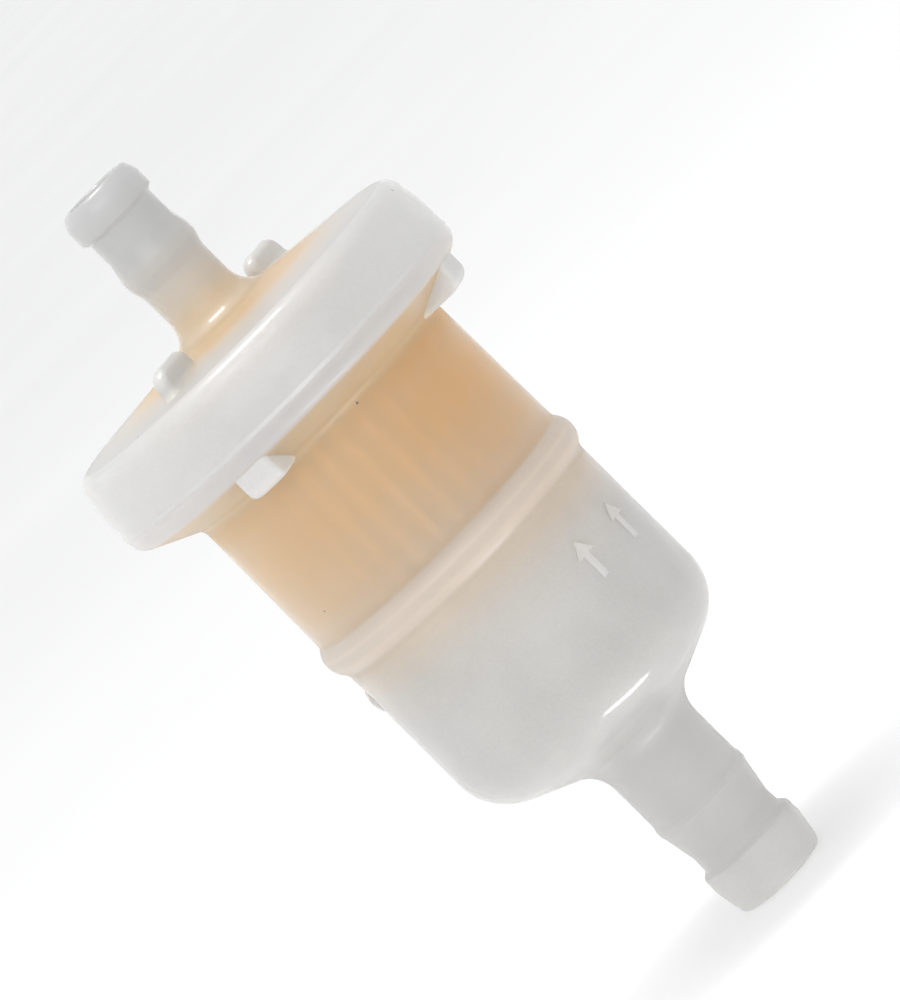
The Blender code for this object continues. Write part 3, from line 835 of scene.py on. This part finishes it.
def flange_body(tree):
    """Whiter nylon in the solid flange."""
    radius, height = axial(tree)
    across = profile(tree, radius, [(14.0, 0.0), (15.8, 0.0), (17.2, 1.0), (22.0, 1.0)])
    along = profile(tree, height, [(14.0, 0.0), (15.5, 0.0), (16.2, 1.0), (22.0, 1.0)])
    return product(tree, across, along)


def bowl_gloss(tree):
    """Coat weight: duller on the bead, on the slope under the flange and down the inlet."""
    return profile(tree, axial(tree)[1], [
        (-48.0, 0.3), (-28.0, 0.15), (-24.6, 0.15), (-23.4, 0.75), (-4.6, 0.75), (-3.6, 0.12),
        (0.6, 0.12), (1.6, 0.75), (13.0, 0.7), (15.0, 0.12), (19.2, 0.15), (20.4, 0.75),
    ])


def cap_gloss(tree):
    """Coat weight: duller on the flat top, glossy on the rim and the nozzle."""
    return profile(tree, axial(tree)[1], [
        (20.0, 0.75), (27.7, 0.75), (28.05, 0.08), (29.6, 0.08), (30.6, 0.75), (48.0, 0.75),
    ])


def paper():
    """Resin-treated paper, paler towards the top: painted light there against the shadow that the flange
    casts.
    """
    made, tree, shader = principled("resin_paper")
    fibre = noise(tree, 900.0, 6.0, 0.65)
    colour = ramp(tree, fibre, [(0.3, (0.62, 0.33, 0.13)), (0.7, (0.78, 0.47, 0.22))])
    low, high = PAPER_LOW.z / MM, PAPER_HIGH.z / MM
    # Painted light: paler colour over the top of the paper, against the flange's shadow
    stops = [(low, 0.0), (high - 5.5, 0.0), (high - 2.5, 0.8), (high, 0.9)]
    painted_light_top = profile(tree, axial(tree)[1], stops)
    tree.links.new(mixed(tree, painted_light_top, colour, (0.88, 0.76, 0.62)), shader.inputs["Base Color"])
    shader.inputs["Roughness"].default_value = 0.85
    bump(tree, shader, fibre, 0.4, 0.05)
    return made


def matt(name, light, dark, scale, roughness, metallic=0.0):
    """An opaque look with a fine grain between two colours."""
    made, tree, shader = principled(name)
    grain = noise(tree, scale, 4.0, 0.6)
    colour = ramp(tree, grain, [(0.3, dark), (0.7, light)])
    tree.links.new(colour, shader.inputs["Base Color"])
    shader.inputs["Roughness"].default_value = roughness
    shader.inputs["Metallic"].default_value = metallic
    bump(tree, shader, grain, 0.25, 0.02)
    return made


def dress(node_name, surface):
    """Puts the look on a CAD node that stays in the picture."""
    mesh = frame["nodes"][node_name].data
    if not mesh.materials:
        mesh.materials.append(surface)
    for i in range(len(mesh.materials)):
        mesh.materials[i] = surface


def make_camera():
    data = bpy.data.cameras.new("camera")
    data.lens = VIEW_LENS
    data.sensor_width = 36.0
    data.clip_start = 0.05
    data.clip_end = 20.0
    camera = bpy.data.objects.new("camera", data)
    bpy.context.scene.collection.objects.link(camera)
    tilt = math.radians(VIEW_ELEVATION)
    back = Vector((0.0, -math.cos(tilt), math.sin(tilt)))
    side = Vector((1.0, 0.0, 0.0))
    rise = Vector((0.0, math.sin(tilt), math.cos(tilt)))
    cos, sin = Vector(VIEW_ROLL).normalized()
    right = side * cos - rise * sin
    up = side * sin + rise * cos
    place = Vector(VIEW_AIM) * MM + back * VIEW_DISTANCE
    camera.matrix_world = Matrix((
        (right.x, up.x, back.x, place.x),
        (right.y, up.y, back.y, place.y),
        (right.z, up.z, back.z, place.z),
        (0.0, 0.0, 0.0, 1.0),
    ))
    bpy.context.scene.camera = camera


def area_light(name, place, target, size, power):
    """A rectangular light. place, target and size are in metres, power in watts."""
    data = bpy.data.lights.new(name, "AREA")
    data.shape = "RECTANGLE"
    data.size, data.size_y = size
    data.energy = power
    light = bpy.data.objects.new(name, data)
    bpy.context.scene.collection.objects.link(light)
    light.location = place
    light.rotation_euler = (Vector(target) - Vector(place)).to_track_quat("-Z", "Y").to_euler()
    return light


def make_floor():
    """A pale disc under the object. It casts no shadow, so that the low light below it reaches the object,
    and it isn't reflected, so that the low gleam shows in the nylon."""
    bm = bmesh.new()
    bmesh.ops.create_circle(bm, cap_ends=True, segments=96, radius=FLOOR_RADIUS)
    bmesh.ops.translate(bm, verts=bm.verts, vec=(0.0, 0.0, CAD_LOW.z - FLOOR_DROP))
    floor = object_from("floor", bm)
    made, tree, shader = principled("pale_floor")
    tint = noise(tree, 6.0, 2.0)
    colour = ramp(tree, tint, [(0.3, (0.50, 0.50, 0.50)), (0.7, (0.53, 0.53, 0.53))])
    tree.links.new(colour, shader.inputs["Base Color"])
    shader.inputs["Roughness"].default_value = 0.9
    shader.inputs["Emission Color"].default_value = (1.0, 1.0, 1.0, 1.0)
    shader.inputs["Emission Strength"].default_value = FLOOR_GLOW
    floor.data.materials.append(made)
    floor.visible_shadow = False
    floor.visible_glossy = False


def make_world():
    """Soft white light, a little greyer overhead and stronger from -X."""
    world = bpy.data.worlds.new("studio")
    bpy.context.scene.world = world
    world.use_nodes = True
    tree = world.node_tree
    background = tree.nodes["Background"]
    split = node(tree, "ShaderNodeSeparateXYZ")
    tree.links.new(node(tree, "ShaderNodeTexCoord").outputs["Generated"], split.inputs["Vector"])
    high = node(tree, "ShaderNodeMapRange", **{"From Min": 0.08, "From Max": 0.45})
    tree.links.new(split.outputs["Z"], high.inputs["Value"])
    stops = [(0.0, (1.0, 1.0, 1.0)), (1.0, (0.78, 0.785, 0.79))]
    sky = ramp(tree, high.outputs["Result"], stops, smoothly=True)
    strengths = {"From Min": -1.0, "From Max": 1.0, "To Min": 1.18, "To Max": 0.85}
    side = node(tree, "ShaderNodeMapRange", **strengths)
    tree.links.new(split.outputs["X"], side.inputs["Value"])
    tree.links.new(sky, background.inputs["Color"])
    tree.links.new(side.outputs["Result"], background.inputs["Strength"])
    view = bpy.context.scene.view_settings
    view.view_transform = "Standard"
    view.look = "None"
    view.exposure = 0.0


clear_defaults()
make_camera()
make_floor()
make_world()
area_light("high", (0.0, -0.02, 0.85), (0.0, 0.0, 0.0), (0.36, 0.12), 3.4)
area_light("front", (-0.15, -0.95, 0.42), (0.0, 0.0, 0.0), (1.0, 0.6), 2.2)
area_light("low", (0.06, -0.11, -0.41), (0.0, 0.0, -0.02), (0.20, 0.05), 0.24)

# These two only show as highlights
for gleam in (
    area_light("high_gleam", (0.0, -0.02, 0.86), (0.0, 0.0, 0.0), (0.32, 0.13), 3.2),
    area_light("low_gleam", (0.06, -0.11, -0.42), (0.0, 0.0, -0.02), (0.24, 0.04), 0.42),
):
    gleam.visible_diffuse = False
    gleam.visible_transmission = False

cap_look = nylon(
    "cap_nylon_look",
    ((0.90, 0.898, 0.885), (0.83, 0.828, 0.815)),
    # Tint on the -X and +X sides: paler on -X as painted light, deeper on +X as painted shade
    ((0.97, 0.80, 0.56), (0.97, 0.76, 0.50)),
    [((0.71, 0.715, 0.71), nozzle_depth), ((0.74, 0.735, 0.725), cap_top)],
    [((0.84, 0.60, 0.34), flare_foot)],
    cap_show_through, cap_gloss, 0.55, 0.45,
)
ear_look = nylon(
    "ear_nylon_look",
    ((0.75, 0.745, 0.73), (0.69, 0.685, 0.67)),
    ((0.58, 0.57, 0.54), (0.90, 0.86, 0.80)),
    [], [], ear_show_through, cap_gloss, 0.2, 0.45,
)
bowl_look = nylon(
    "bowl_nylon_look",
    ((0.82, 0.813, 0.795), (0.73, 0.723, 0.708)),
    # Tint on the -X and +X sides: paler on -X as painted light, deeper on +X as painted shade
    ((0.93, 0.70, 0.42), (0.93, 0.62, 0.29)),
    [
        ((0.96, 0.97, 0.985), flange_body),
        # Painted highlight on the arrows' raised faces
        ((0.97, 0.965, 0.955), arrow_painted_highlight),
        # Painted highlights along the bead
        ((0.97, 0.91, 0.86), bead_painted_highlights),
        ((0.70, 0.695, 0.685), inlet_depth),
    ],
    [],
    bowl_show_through, bowl_gloss, 0.62, 0.48,
)
lug_look = nylon(
    "lug_nylon_look",
    ((0.74, 0.74, 0.73), (0.68, 0.68, 0.67)),
    ((0.90, 0.80, 0.66), (0.90, 0.80, 0.66)),
    [], [], lug_show_through, bowl_gloss, 0.2, 0.45,
)
cap = make_cap((cap_look, ear_look))
bowl = make_bowl((bowl_look, lug_look))

for piece, replaced, slot in ((cap, "cap", "cap_nylon"), (bowl, "bowl", "bowl_nylon")):
    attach(piece, "root")
    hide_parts(replaced)

dress("pleated_paper", paper())
disc_look = matt("disc_look", (0.74, 0.45, 0.22), (0.66, 0.38, 0.17), 500.0, 0.6)
dress("upper_end_disc", disc_look)
dress("lower_end_disc", disc_look)
dress("centre_tube", matt("tube_look", (0.80, 0.74, 0.64), (0.74, 0.67, 0.56), 400.0, 0.5))
dress("seam_clip", matt("clip_look", (0.66, 0.66, 0.67), (0.52, 0.52, 0.53), 1500.0, 0.35, 1.0))
dress("neck_seal_ring", matt("seal_look", (0.09, 0.085, 0.08), (0.05, 0.048, 0.045), 900.0, 0.7))
